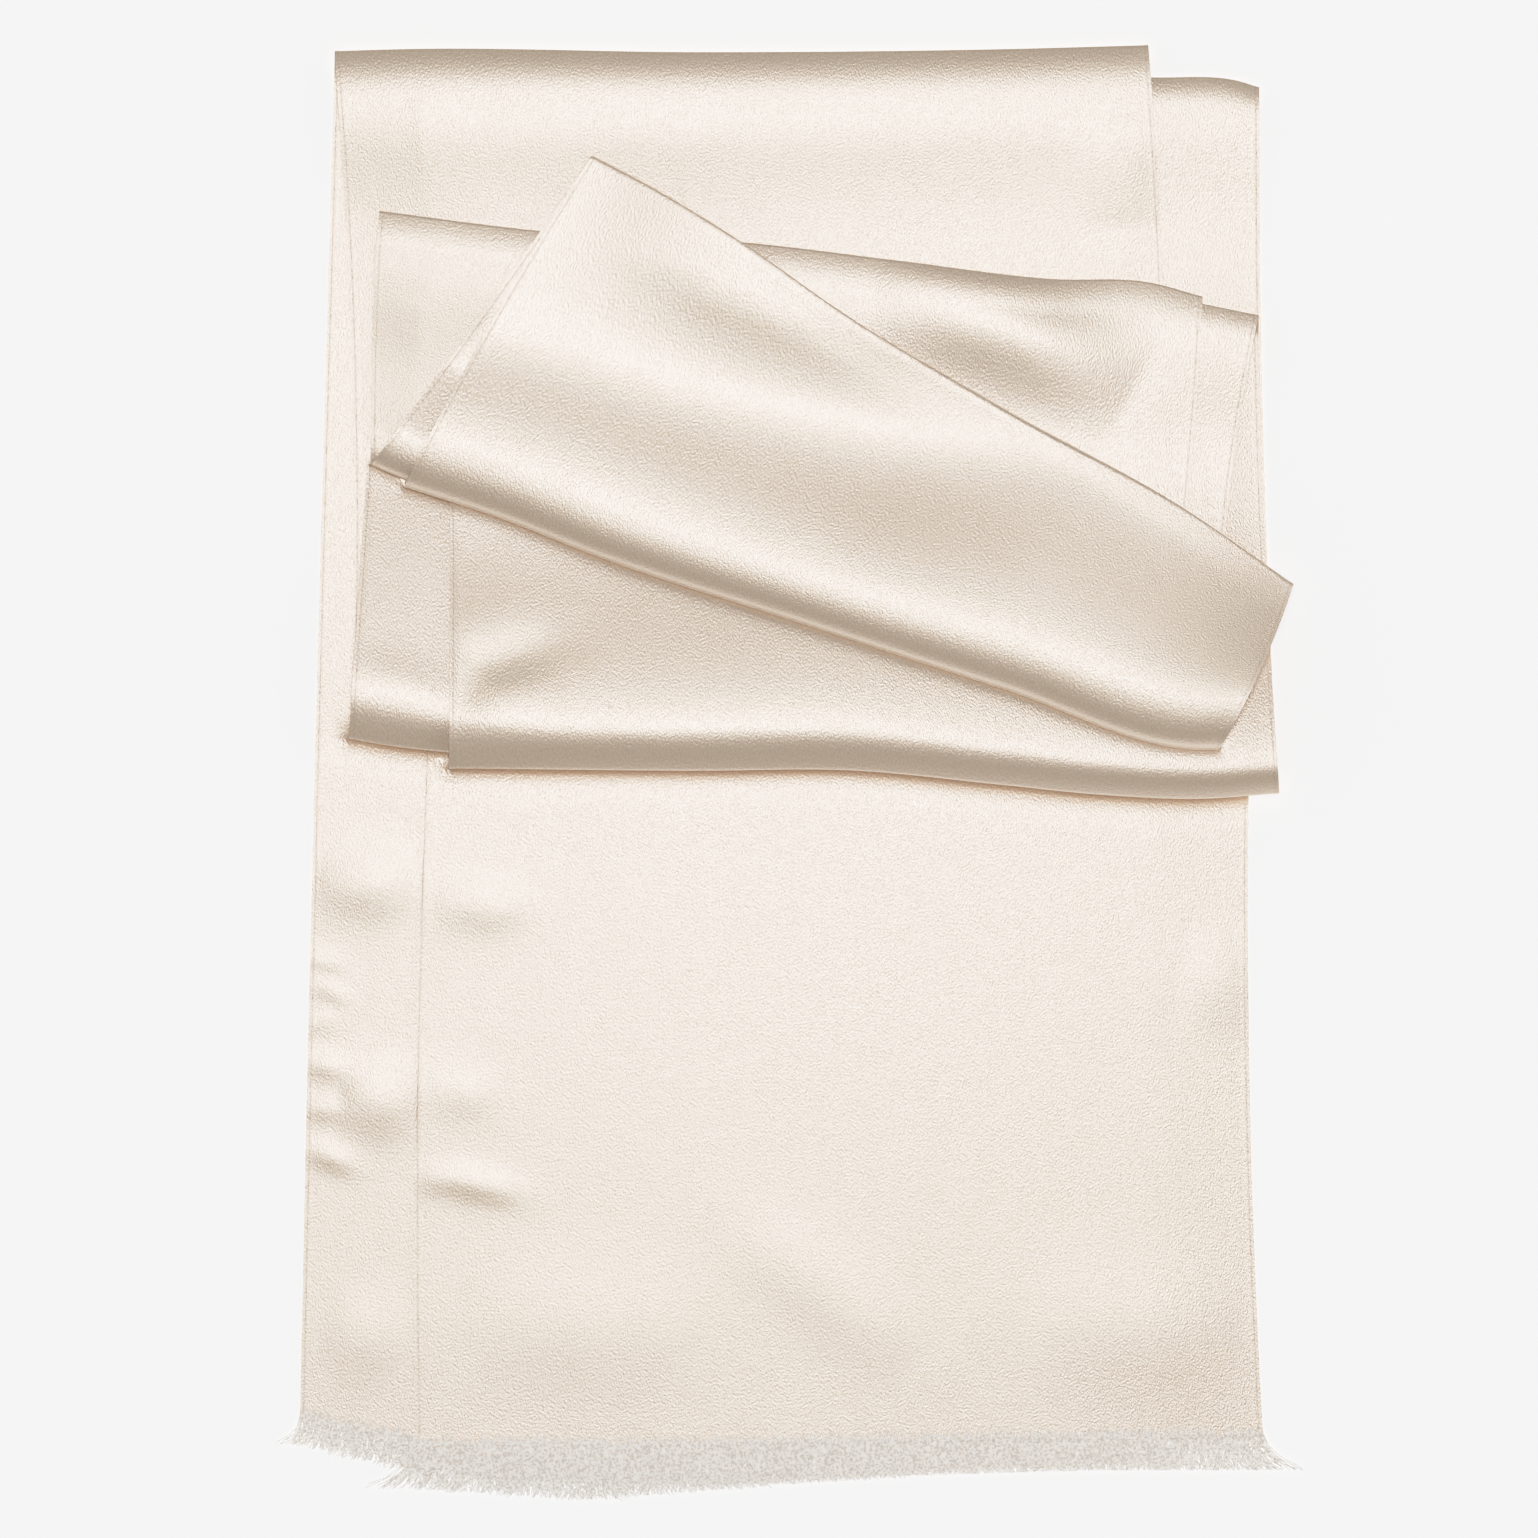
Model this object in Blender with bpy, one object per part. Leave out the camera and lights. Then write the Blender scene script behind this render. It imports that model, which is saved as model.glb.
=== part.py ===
"""An ivory satin scarf with a short fringe at both ends, folded and lying flat on a surface.

The scarf is one strip of cloth. It is folded across its middle, so that one half lies on the
other with both fringed ends together, and the doubled strip is folded back and forth four times.
The two halves lie about 31 mm apart sideways, so each of them shows a band along one side. The
half that shows along the left is the left half here, and the other is the right half.

Each half is modelled as five stretches, one between each fold and the next. A stretch is a wall
of cloth. It starts with the rounded roll in which the cloth turns over at a fold, and lies on the
stretches under it. Plan outlines come from the fold lines below. Heights are worked out by
laying each stretch on what is already there, in the order in which they are stacked.

Lengths in the tables are in millimetres, and the meshes are in metres. +X points to the right
across the cloth, +Y away from the fringed ends and +Z up. The origin is on the surface, under the
middle of the outline.
"""

from collections import namedtuple

import bpy
import numpy as np
from mathutils import Matrix

MILLIMETRE = 0.001

WALL = 1.0
GAP = 0.3
SEAM_GAP = 0.3

STRETCHES = 5
COLUMNS = (0.0, 0.05, 0.12, 0.22, 0.36, 0.5, 0.64, 0.77, 0.85, 0.92, 1.0)
FLAT_ROWS = 10
ROLL_STEPS = 8
CRISP_ROLL_STEPS = 4
SETTLING_ROUNDS = 4
LIFTS_A_ROUND = 5
OWN_SHARE = 0.4
NEIGHBOUR_SHARE = 0.15
EVEN_SPACING = 0.45
SHARP_ANGLE = 40.0

FRINGE_STRANDS = 90
FRINGE_STRIP_DEPTH = 3.0
STRAND_WIDTH = 1.7
STRAND_KNEE_WIDTH = 1.1
STRAND_KNEE_THICKNESS = 0.6
STRAND_KNEE_DROP = 0.08
STRAND_TIP_DROP = 0.12
STRAND_KINK = 0.35
STRAND_LEAN_AT_ENDS = 0.8
STRAND_LEAN_POWER = 9
STRAND_LEAN_SPREAD = 0.16
STRAND_LENGTH_SPREAD = 0.12

# The grid of heights on which each stretch is laid.
CELL = 1.0
GRID_LEFT = -175.0
GRID_NEAR = -235.0
GRID_WIDTH = 350
GRID_LENGTH = 480

# A fold line's points run from the left end of the fold to its right end. The depth is how far
# the roll reaches in from the line, the rise is how much higher the cloth is after the fold at
# the left, middle and right of the line, and the reach is the length over which it comes down.
Point = namedtuple("Point", "x y")
Fold = namedtuple("Fold", "name depth rise reach line")
Rise = namedtuple("Rise", "left middle right")

# A side edge runs between the ends of two fold lines. The bow is how far its middle lies to the
# right of a straight line, and the sway is that of an S bend, at a quarter of its length.
Stretch = namedtuple("Stretch", "left_bow left_sway right_bow right_sway")

MIDDLE_FOLD = Fold(
    "middle",
    1.7,
    Rise(1.7, 1.7, 1.7),
    1.0,
    (
        Point(-59.7, 184.8),
        Point(-42.3, 175.5),
        Point(-15.3, 159.0),
        Point(17.7, 136.0),
        Point(62.7, 109.5),
        Point(116.7, 79.5),
        Point(150.3, 56.4),
    ),
)

LEFT_FOLDS = (
    Fold(
        "fringed edge",
        0.0,
        Rise(0.0, 0.0, 0.0),
        1.0,
        (
            Point(-147.3, -192.6),
            Point(-114.3, -200.1),
            Point(-45.3, -203.1),
            Point(32.7, -200.1),
            Point(108.3, -197.1),
        ),
    ),
    Fold(
        "first far fold",
        9.0,
        Rise(6.5, 8.5, 8.0),
        24.0,
        (
            Point(-136.8, 216.3),
            Point(-117.3, 216.9),
            Point(-27.3, 216.0),
            Point(62.7, 216.9),
            Point(107.1, 218.1),
        ),
    ),
    Fold(
        "first near fold",
        6.5,
        Rise(4.5, 4.5, 4.5),
        22.0,
        (
            Point(-132.3, 10.5),
            Point(-126.3, 9.3),
            Point(-102.3, 6.3),
            Point(-27.3, 6.9),
            Point(47.7, 5.7),
            Point(113.1, 2.7),
        ),
    ),
    Fold(
        "second far fold",
        8.0,
        Rise(6.0, 7.5, 7.5),
        24.0,
        (
            Point(-123.3, 168.3),
            Point(-75.3, 162.3),
            Point(-15.3, 159.0),
            Point(32.7, 153.3),
            Point(77.7, 149.1),
            Point(107.7, 148.5),
            Point(123.3, 143.4),
        ),
    ),
    Fold(
        "second near fold",
        6.5,
        Rise(4.0, 4.5, 4.5),
        20.0,
        (
            Point(-125.7, 92.4),
            Point(-115.8, 88.2),
            Point(-100.0, 84.6),
            Point(-69.3, 76.0),
            Point(-9.3, 55.5),
            Point(50.7, 35.5),
            Point(110.7, 17.0),
        ),
    ),
    MIDDLE_FOLD,
)

RIGHT_FOLDS = (
    Fold(
        "fringed edge",
        0.0,
        Rise(0.0, 0.0, 0.0),
        1.0,
        (
            Point(-112.5, -201.6),
            Point(-27.3, -201.6),
            Point(62.7, -200.1),
            Point(141.6, -199.2),
        ),
    ),
    Fold(
        "first far fold",
        6.5,
        Rise(4.5, 5.0, 4.5),
        20.0,
        (
            Point(-108.9, 207.9),
            Point(-27.3, 207.6),
            Point(62.7, 208.2),
            Point(108.3, 208.5),
            Point(134.7, 207.3),
            Point(140.4, 205.5),
        ),
    ),
    Fold(
        "first near fold",
        9.0,
        Rise(7.0, 8.0, 8.0),
        24.0,
        (
            Point(-102.3, 1.5),
            Point(-27.3, 0.3),
            Point(17.7, 0.0),
            Point(62.7, -3.0),
            Point(92.7, -5.1),
            Point(122.7, -6.9),
            Point(146.1, -6.0),
        ),
    ),
    Fold(
        "second far fold",
        5.5,
        Rise(4.0, 4.5, 4.5),
        20.0,
        (
            Point(-105.3, 160.5),
            Point(-69.3, 156.9),
            Point(-15.3, 154.5),
            Point(32.7, 148.8),
            Point(77.7, 144.6),
            Point(107.7, 143.1),
            Point(140.1, 137.1),
        ),
    ),
    Fold(
        "second near fold",
        9.0,
        Rise(7.0, 7.5, 7.5),
        24.0,
        (
            Point(-115.8, 85.8),
            Point(-87.3, 77.4),
            Point(-57.3, 65.4),
            Point(2.7, 45.9),
            Point(62.7, 24.9),
            Point(122.7, 6.6),
            Point(129.3, 6.9),
        ),
    ),
    MIDDLE_FOLD,
)

LEFT_STRETCHES = (
    Stretch(-0.6, 0.0, 0.0, 0.0),
    Stretch(3.0, 0.0, 2.7, 0.0),
    Stretch(0.5, 0.0, 0.0, 0.0),
    Stretch(-1.0, 0.0, 1.8, 0.0),
    Stretch(1.0, 0.0, 0.0, 0.0),
)

RIGHT_STRETCHES = (
    Stretch(0.6, -1.8, -3.6, -0.9),
    Stretch(0.0, 0.0, -1.5, 0.0),
    Stretch(1.5, 0.0, -1.0, 0.0),
    Stretch(0.0, 0.0, -3.8, 0.0),
    Stretch(-1.8, 0.0, 1.5, 0.0),
)

# How long the fringe is along each fringed edge, from its left end to its right end.
Fringe = namedtuple("Fringe", "lengths")
LEFT_FRINGE = Fringe((8.5, 9.0, 11.0, 11.0, 10.0, 10.0))
RIGHT_FRINGE = Fringe((13.0, 16.5, 12.6, 10.2, 9.5, 10.0))

Half = namedtuple("Half", "name folds stretches fringe")
LEFT = Half("left_half", LEFT_FOLDS, LEFT_STRETCHES, LEFT_FRINGE)
RIGHT = Half("right_half", RIGHT_FOLDS, RIGHT_STRETCHES, RIGHT_FRINGE)

Finish = namedtuple("Finish", "name colour roughness")
CLOTH = Finish("ivory_satin", (0.86, 0.79, 0.70, 1.0), 0.38)
FRINGE_YARN = Finish("ivory_fringe_yarn", (0.72, 0.69, 0.66, 1.0), 0.75)


def clear_scene():
    for thing in list(bpy.data.objects):
        bpy.data.objects.remove(thing, do_unlink=True)


def make_material(finish):
    material = bpy.data.materials.new(finish.name)
    material.use_nodes = True
    shader = material.node_tree.nodes["Principled BSDF"]
    shader.inputs["Base Color"].default_value = finish.colour
    shader.inputs["Roughness"].default_value = finish.roughness
    shader.inputs["Metallic"].default_value = 0.0
    return material


def curve_through(points, fractions):
    """Positions at these fractions of the length of a smooth curve through the points."""
    points = np.array(points, float)
    steps = np.linalg.norm(np.diff(points, axis=0), axis=1)
    knots = np.concatenate([[0.0], np.cumsum(steps)])
    slopes = np.gradient(points, knots, axis=0)
    at = np.clip(np.asarray(fractions, float), 0.0, 1.0) * knots[-1]
    piece = np.clip(np.searchsorted(knots, at, side="right") - 1, 0, len(steps) - 1)
    span = steps[piece][:, None]
    u = ((at - knots[piece]) / steps[piece])[:, None]
    start, end = points[piece], points[piece + 1]
    start_slope, end_slope = slopes[piece] * span, slopes[piece + 1] * span
    return (
        start * (1 + 2 * u) * (1 - u) ** 2
        + start_slope * u * (1 - u) ** 2
        + end * u**2 * (3 - 2 * u)
        + end_slope * u**2 * (u - 1)
    )


def rise_along(fold, across):
    """The fold's rise at these fractions of its width, by a parabola through its three values."""
    left, middle, right = fold.rise
    across = np.asarray(across)
    tilt = right - left
    crown = 4 * middle - 2 * (left + right)
    return left + tilt * across + crown * across * (1 - across)


def plan(half, number, across, along):
    """Plan positions on a stretch, with along 0 on its first fold line and 1 on its next."""
    first = curve_through(half.folds[number - 1].line, across)
    last = curve_through(half.folds[number].line, across)
    edges = half.stretches[number - 1]
    arch = 4 * along * (1 - along)
    bend = np.sin(2 * np.pi * along)
    left_shift = edges.left_bow * arch + edges.left_sway * bend
    right_shift = edges.right_bow * arch + edges.right_sway * bend
    flat = first * (1 - along)[..., None] + last * along[..., None]
    flat[..., 0] += (1 - across) * left_shift + across * right_shift
    return flat


def lengths(half, number, across):
    first = curve_through(half.folds[number - 1].line, across)
    last = curve_through(half.folds[number].line, across)
    return np.linalg.norm(last - first, axis=1)


def eased(count):
    """Fractions from 0 to 1 that lie closer together at the start, where a fold comes down."""
    even = np.linspace(0.0, 1.0, count)
    return EVEN_SPACING * even + (1 - EVEN_SPACING) * even**2


def quad_weights(steps):
    """Weights of a quad's four corners at points spread over its two triangles."""
    even = (np.arange(steps) + 0.5) / steps
    u, v = [axis.ravel() for axis in np.meshgrid(even, even, indexing="ij")]
    zero = np.zeros_like(u)
    near = np.stack([1 - u, u - v, v, zero], axis=1)
    far = np.stack([1 - v, zero, u, v - u], axis=1)
    return np.where((v <= u)[:, None], near, far)


def quad_corners(grid):
    return np.stack([grid[:-1, :-1], grid[1:, :-1], grid[1:, 1:], grid[:-1, 1:]], axis=2)


def sample_steps(positions):
    """How many points along a quad's side keep them closer than a cell of the height grid."""
    down = np.linalg.norm(np.diff(positions[..., :2], axis=0), axis=-1).max()
    over = np.linalg.norm(np.diff(positions[..., :2], axis=1), axis=-1).max()
    return int(np.ceil(1.5 * max(down, over) / CELL))


def cells(x, y):
    column = np.clip(((x - GRID_LEFT) / CELL).astype(int), 1, GRID_WIDTH - 2)
    row = np.clip(((y - GRID_NEAR) / CELL).astype(int), 1, GRID_LENGTH - 2)
    return row, column


def raise_ground(ground, surface):
    """Raises the grid of heights to a surface given as a grid of positions."""
    weights = quad_weights(sample_steps(surface))
    samples = np.einsum("rcki,sk->rcsi", quad_corners(surface), weights)
    row, column = cells(samples[..., 0], samples[..., 1])
    np.maximum.at(ground, (row, column), samples[..., 2])


def widened(ground):
    """The highest of each cell and its eight neighbours."""
    wide = ground.copy()
    wide[1:] = np.maximum(wide[1:], ground[:-1])
    wide[:-1] = np.maximum(wide[:-1], ground[1:])
    tall = wide.copy()
    tall[:, 1:] = np.maximum(tall[:, 1:], wide[:, :-1])
    tall[:, :-1] = np.maximum(tall[:, :-1], wide[:, 1:])
    return tall


def lift_needed(ground, flat, height, whole):
    """How far each point must rise for the wall to clear the ground by the gap.

    The whole lift clears it at once. Otherwise it is a smaller one, to be repeated.
    """
    weights = quad_weights(sample_steps(flat))
    places = np.einsum("rcki,sk->rcsi", quad_corners(flat), weights)
    heights = np.einsum("rck,sk->rcs", quad_corners(height), weights)
    row, column = cells(places[..., 0], places[..., 1])
    short = np.maximum(ground[row, column] + GAP + WALL / 2 - heights, 0.0)
    share = weights / (weights**2).sum(axis=1)[:, None] if whole else weights
    numbers = quad_corners(np.arange(height.size).reshape(height.shape))
    lift = np.zeros(height.size)
    for corner in range(4):
        most = (short * share[:, corner]).max(axis=2)
        np.maximum.at(lift, numbers[..., corner].ravel(), most.ravel())
    return lift.reshape(height.shape)


def smoothed(height):
    padded = np.pad(height, 1, mode="edge")
    beside = padded[1:-1, :-2] + padded[1:-1, 2:]
    before = padded[:-2, 1:-1] + padded[2:, 1:-1]
    return OWN_SHARE * height + NEIGHBOUR_SHARE * (beside + before)


def settle(ground, flat):
    """Heights of a stretch that lies on the ground."""
    over = widened(ground)
    height = np.full(flat.shape[:2], WALL / 2)
    for _ in range(SETTLING_ROUNDS):
        height = smoothed(height)
        for _ in range(LIFTS_A_ROUND):
            height = height + lift_needed(over, flat, height, whole=False)
    return height + lift_needed(over, flat, height, whole=True)


def unit(vectors):
    return vectors / np.linalg.norm(vectors, axis=-1, keepdims=True)


def way_out(half, number, across, depth, at_start):
    """Level unit vectors that point along a stretch and out over one of its fold lines."""
    length = lengths(half, number, across)
    line = 0.0 if at_start else 1.0
    inner = depth / length if at_start else 1 - depth / length
    on_line = plan(half, number, across, np.full_like(across, line))
    return unit(on_line - plan(half, number, across, inner))


def roll_rows(start, end, fold, low, high, steps):
    """The rows of a roll, from the cloth under it, round the fold line, to the cloth over it.

    The start and the end each name a half and a stretch, and say whether the fold line is where
    that stretch starts. It returns the middle of the wall and unit vectors that point outward.
    """
    across = np.array(COLUMNS)
    ways = [way_out(*place[:2], across, fold.depth, place[2]) for place in (start, end)]
    rows, outward = [], []
    for angle in np.linspace(-np.pi / 2, np.pi / 2, steps + 1):
        inset = fold.depth * (1 - np.cos(angle))
        half, number, at_start = start if angle < 0 else end
        along = inset / lengths(half, number, across)
        flat = plan(half, number, across, along if at_start else 1 - along)
        share = (1 + np.sin(angle)) / 2
        out = unit(ways[0] * (1 - share) + ways[1] * share)
        sideways = out * np.cos(angle) / fold.depth
        upward = np.sin(angle) / ((high - low) / 2)
        rows.append(np.column_stack([flat, low + (high - low) * share]))
        outward.append(unit(np.column_stack([sideways, upward])))
    return np.array(rows), np.array(outward)


def build_stretch(half, number, ground, ends):
    """The middle of a stretch's wall and its outward unit vectors, laid on the ground."""
    across = np.array(COLUMNS)
    start = half.folds[number - 1]
    end = half.folds[number]
    is_last = half is RIGHT and number == STRETCHES
    length = lengths(half, number, across)
    first = start.depth / length
    last = 1 - (end.depth + (0.0 if is_last else SEAM_GAP)) / length
    along = first + eased(FLAT_ROWS)[:, None] * (last - first)
    flat = plan(half, number, across, along)
    height = settle(ground, flat)
    if number > 1:
        low = ends[half.name, number - 1]
        beyond = along * length - start.depth
        bulge = np.exp(-((beyond / start.reach) ** 2))
        loft = np.maximum(low + rise_along(start, across) - height[0], 0.0)
        height = height + loft * bulge
    middle = np.dstack([flat, height])
    outward = np.zeros_like(middle)
    outward[..., 2] = 1.0
    if number > 1:
        below = (half, number - 1, False)
        here = (half, number, True)
        rows, normals = roll_rows(below, here, start, low, height[0], ROLL_STEPS)
        middle = np.concatenate([rows[:-1], middle])
        outward = np.concatenate([normals[:-1], outward])
    if is_last:
        below = (LEFT, STRETCHES, False)
        here = (RIGHT, STRETCHES, False)
        low = ends[LEFT.name, STRETCHES]
        rows, normals = roll_rows(below, here, end, low, height[-1], CRISP_ROLL_STEPS)
        middle = np.concatenate([middle, rows[-2::-1]])
        outward = np.concatenate([outward, normals[-2::-1]])
    return middle, outward


def wall_mesh(name, middle, outward):
    """A closed wall of cloth round a grid of positions."""
    rows, columns = middle.shape[:2]
    outer = (middle + outward * WALL / 2).reshape(-1, 3)
    inner = (middle - outward * WALL / 2).reshape(-1, 3)
    number = np.arange(rows * columns).reshape(rows, columns)
    under = number + rows * columns
    faces = []
    a, b, c, d = np.moveaxis(quad_corners(number).reshape(-1, 4), 1, 0)
    for triangle in ((a, b, c), (a, c, d)):
        faces.extend(np.stack(triangle, axis=1).tolist())
        flipped = np.stack(triangle[::-1], axis=1) + rows * columns
        faces.extend(flipped.tolist())
    rim = np.concatenate([number[0], number[1:, -1], number[-1, -2::-1], number[-2::-1, 0]])
    low_rim = np.concatenate([under[0], under[1:, -1], under[-1, -2::-1], under[-2::-1, 0]])
    for index in range(len(rim) - 1):
        faces.append([rim[index], rim[index + 1], low_rim[index + 1], low_rim[index]])
    return make_mesh(name, np.concatenate([outer, inner]), faces)


def make_mesh(name, points, faces):
    """A mesh whose faces point out."""
    points = np.asarray(points)
    volume = 0.0
    for face in faces:
        corner = points[face[0]]
        for second, third in zip(face[1:-1], face[2:]):
            volume += np.dot(corner, np.cross(points[second], points[third]))
    if volume < 0:
        faces = [list(reversed(face)) for face in faces]
    mesh = bpy.data.meshes.new(name)
    mesh.from_pydata((points * MILLIMETRE).tolist(), [], [list(map(int, f)) for f in faces])
    mesh.validate()
    mesh.update()
    return mesh


def add_object(name, mesh, material, smooth):
    mesh.materials.append(material)
    if smooth:
        mesh.shade_smooth()
        mesh.set_sharp_from_angle(angle=np.radians(SHARP_ANGLE))
    thing = bpy.data.objects.new(name, mesh)
    bpy.context.scene.collection.objects.link(thing)
    return thing


def fringe_lengths(half, across):
    known = np.linspace(0.0, 1.0, len(half.fringe.lengths))
    return np.interp(across, known, half.fringe.lengths)


def edge_positions(edge, across):
    """Positions on the straight pieces of a stretch's fringed edge."""
    return np.column_stack([np.interp(across, COLUMNS, edge[:, axis]) for axis in range(3)])


def fringe_cover(half, edge):
    """The top of the space that a fringe fills, as a grid of positions."""
    across = np.array(COLUMNS)
    top = edge_positions(edge, across)
    top[:, 2] += WALL / 2
    ends = top.copy()
    ends[:, 0] += STRAND_LEAN_AT_ENDS * (2 * across - 1) * fringe_lengths(half, across)
    ends[:, 1] -= fringe_lengths(half, across) * (1 + STRAND_LENGTH_SPREAD)
    return np.array([top, ends])


def strip_faces(count):
    """Faces of a four-sided strip with count points a side, left open where a strand grows."""
    faces = []
    for index in range(count - 1):
        grows_strand = index % 2 == 1
        for side in range(4):
            if side == 1 and grows_strand:
                continue
            here = side * count + index
            there = (side + 1) % 4 * count + index
            faces.append([here, here + 1, there + 1, there])
    faces.append([side * count for side in range(4)])
    faces.append([side * count + count - 1 for side in (3, 2, 1, 0)])
    return faces


def add_strand(points, faces, root, way, length, kink):
    """Adds a four-sided strand that grows out of its root, bends at a knee and ends in a point."""
    centre = np.mean([points[corner] for corner in root], axis=0)
    knee = centre + way * length / 2 + [kink, 0.0, -STRAND_KNEE_DROP]
    tip = centre + way * length + [-kink, 0.0, -STRAND_TIP_DROP]
    base = len(points)
    for side, level in ((-1, 1), (1, 1), (1, -1), (-1, -1)):
        offset = [side * STRAND_KNEE_WIDTH / 2, 0.0, level * STRAND_KNEE_THICKNESS / 2]
        points.append(knee + offset)
    points.append(tip)
    for corner in range(4):
        beside = (corner + 1) % 4
        faces.append([root[corner], root[beside], base + beside, base + corner])
        faces.append([base + corner, base + beside, base + 4])


def fringe_mesh(name, half, edge, seed):
    """A narrow strip along the fringed edge, with the strands that grow out of it."""
    chance = np.random.default_rng(seed)
    share = STRAND_WIDTH / (edge[-1, 0] - edge[0, 0])
    middles = (np.arange(FRINGE_STRANDS) + 0.5) / FRINGE_STRANDS
    roots = np.concatenate([middles - share / 2, middles + share / 2])
    across = np.sort(np.concatenate([[0.0], roots, [1.0]]))
    count = len(across)
    back = edge_positions(edge, across) - [0.0, SEAM_GAP, 0.0]
    front = back - [0.0, FRINGE_STRIP_DEPTH, 0.0]
    up = np.array([0.0, 0.0, WALL / 2])
    points = list(np.concatenate([back + up, front + up, front - up, back - up]))
    faces = strip_faces(count)
    spread = STRAND_LENGTH_SPREAD * chance.uniform(-1, 1, FRINGE_STRANDS)
    length = (fringe_lengths(half, middles) - FRINGE_STRIP_DEPTH) * (1 + spread)
    lean = STRAND_LEAN_AT_ENDS * (2 * middles - 1) ** STRAND_LEAN_POWER
    lean = lean + STRAND_LEAN_SPREAD * chance.uniform(-1, 1, FRINGE_STRANDS)
    kink = STRAND_KINK * chance.uniform(-1, 1, FRINGE_STRANDS)
    for strand in range(FRINGE_STRANDS):
        left = count + 1 + 2 * strand
        root = [left, left + 1, left + 1 + count, left + count]
        way = np.array([lean[strand], -1.0, 0.0])
        add_strand(points, faces, root, way, length[strand], kink[strand])
    return make_mesh(name, points, faces)


def build_scarf():
    cloth = make_material(CLOTH)
    yarn = make_material(FRINGE_YARN)
    ground = np.full((GRID_LENGTH, GRID_WIDTH), -GAP)
    ends = {}
    for number in range(1, STRETCHES + 1):
        for half in (LEFT, RIGHT) if number % 2 == 1 else (RIGHT, LEFT):
            middle, outward = build_stretch(half, number, ground, ends)
            name = f"{half.name}_stretch_{number}"
            add_object(name, wall_mesh(name, middle, outward), cloth, smooth=True)
            first_seen = 0 if number == 1 else ROLL_STEPS // 2
            seen = slice(first_seen, len(middle))
            raise_ground(ground, (middle + outward * WALL / 2)[seen])
            ends[half.name, number] = middle[-1, :, 2]
            if number == 1:
                edge = middle[0]
                raise_ground(ground, fringe_cover(half, edge))
                name = f"{half.name}_fringe"
                mesh = fringe_mesh(name, half, edge, seed=len(ends))
                add_object(name, mesh, yarn, smooth=False)


def centre_outline():
    """Moves every mesh so that the middle of the whole outline is over the origin."""
    meshes = [thing.data for thing in bpy.data.objects]
    points = np.concatenate([[corner.co[:] for corner in mesh.vertices] for mesh in meshes])
    low, high = points.min(axis=0), points.max(axis=0)
    for mesh in meshes:
        mesh.transform(Matrix.Translation((-(low[0] + high[0]) / 2, -(low[1] + high[1]) / 2, -low[2])))
        mesh.update()


clear_scene()
build_scarf()
centre_outline()
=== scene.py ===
"""The looks of a folded ivory satin scarf: thin satin cloth, loose fringe, floor, light and camera.

The cloth is worked out as the solids are: plan outlines come from the fold lines, and heights from
laying each stretch on what is already there. The mesh here is finer, the cloth thinner, and the
creases, puckers, side hems and fringe threads are added. Lengths in the tables are in millimetres.
"""

import math
from collections import namedtuple

import bpy
import numpy as np
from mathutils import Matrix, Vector


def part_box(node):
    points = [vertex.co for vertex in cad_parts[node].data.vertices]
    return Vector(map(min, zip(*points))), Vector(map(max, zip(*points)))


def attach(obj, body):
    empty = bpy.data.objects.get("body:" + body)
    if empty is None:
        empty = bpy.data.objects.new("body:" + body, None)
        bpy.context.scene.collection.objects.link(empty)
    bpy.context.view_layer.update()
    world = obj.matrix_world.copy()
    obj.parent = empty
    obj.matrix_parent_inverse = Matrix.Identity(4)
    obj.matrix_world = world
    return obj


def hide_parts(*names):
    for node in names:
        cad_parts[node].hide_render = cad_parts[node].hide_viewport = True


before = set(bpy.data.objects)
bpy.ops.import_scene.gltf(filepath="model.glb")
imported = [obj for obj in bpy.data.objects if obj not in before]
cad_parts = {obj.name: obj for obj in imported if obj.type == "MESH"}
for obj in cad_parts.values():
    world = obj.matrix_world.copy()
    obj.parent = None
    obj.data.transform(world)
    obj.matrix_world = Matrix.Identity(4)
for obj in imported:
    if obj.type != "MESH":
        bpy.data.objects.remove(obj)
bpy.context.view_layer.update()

MILLIMETRE = 0.001

# The thickness of the cloth and of its side hems, and the gap between layers.
WALL = 0.22
HEM_WALL = 0.34
HEM_TAPER = 0.4
GAP = 0.08

# The mesh. Its columns run along the cloth, and a hem's lie at these distances from its edge.
STRETCHES = 5
CLOTH_WIDTH = 250.0
HEM_COLUMNS = (0.0, 0.25, 0.8, 1.1, 1.5)
INNER_COLUMNS = 96
EDGE_CROWDING = 0.45
ROW_SPACING = 2.6
EVEN_SPACING = 0.7
ROLL_STEPS = 18
CRISP_ROLL_STEPS = 8
SHARP_ANGLE = 60.0

# How a stretch settles, and how far its crests are evened out across the cloth.
SETTLING_ROUNDS = 260
ACROSS_SHARE = 0.25
ALONG_SHARE = 0.1
CREST_SPREAD = 13.0

# The grid of heights on which each stretch is laid.
CELL = 1.0
GRID_LEFT = -175.0
GRID_NEAR = -235.0
GRID_WIDTH = 350
GRID_LENGTH = 480
SAMPLES_PER_CELL = 1.5
# How far inside the grid's far edges a place is kept, in cells, so that it has one beyond it.
GRID_MARGIN = 1.001

# A fold line's points run from the left end of the fold to its right end. The depth is how far
# the roll reaches in from the line, and the rise is how much higher the cloth is after the fold
# at the left, middle and right of the line. The fringed edge has no roll, and the middle fold
# rises to the cloth that lies over it.
Point = namedtuple("Point", "x y")
Fold = namedtuple("Fold", "name line depth rise", defaults=(0.0, None))
Rise = namedtuple("Rise", "left middle right")

# A side edge runs between the ends of two fold lines. The bow is how far its middle lies to the
# right of a straight line, and the sway is that of an S bend, at a quarter of its length.
Stretch = namedtuple("Stretch", "left_bow left_sway right_bow right_sway")

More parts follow.
